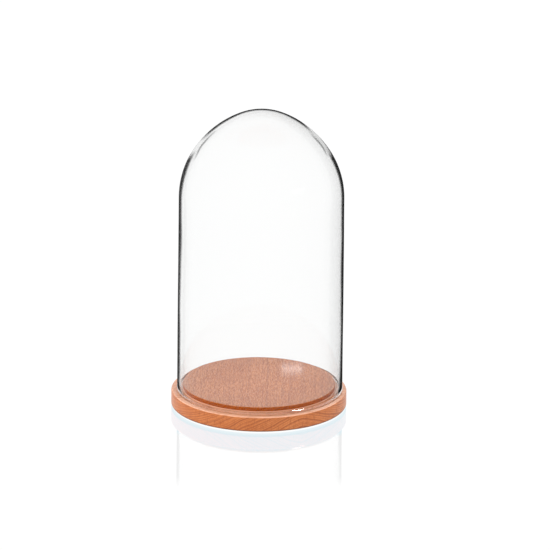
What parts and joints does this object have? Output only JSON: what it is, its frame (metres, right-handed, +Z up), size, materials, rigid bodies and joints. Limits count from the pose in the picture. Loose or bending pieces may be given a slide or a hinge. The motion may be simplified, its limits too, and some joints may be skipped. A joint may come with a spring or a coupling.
{
  "type": "bell jar dome",
  "caption": "Clear blown-glass bell jar dome with a fire-polished foot, standing on the ledge of a turned beech base.",
  "frame": {"origin": "middle of the base on the surface that the felt pads stand on", "axes": "+Z up along the dome's axis, +X to the viewer's right, the viewer stands on the -Y side, wood grain along Y"},
  "size_m": [0.175, 0.175, 0.309],
  "materials": {
    "beech": "red-brown stained beech, satin clear lacquer",
    "clear_glass": "clear mouth-blown glass, slightly wavy, fire-polished foot",
    "felt": "pressed brown wool felt, self-adhesive"
  },
  "bodies": {
    "base": {"wooden_base": "beech", "felt_pad_1": "felt", "felt_pad_2": "felt", "felt_pad_3": "felt", "felt_pad_4": "felt"},
    "dome": {"glass_dome": "clear_glass"}
  },
  "joints": [
    {"name": "dome_lift", "type": "slide", "parent": "base", "child": "dome", "axis": [0, 0, 1], "range_m": [0, 0.1]}
  ]
}
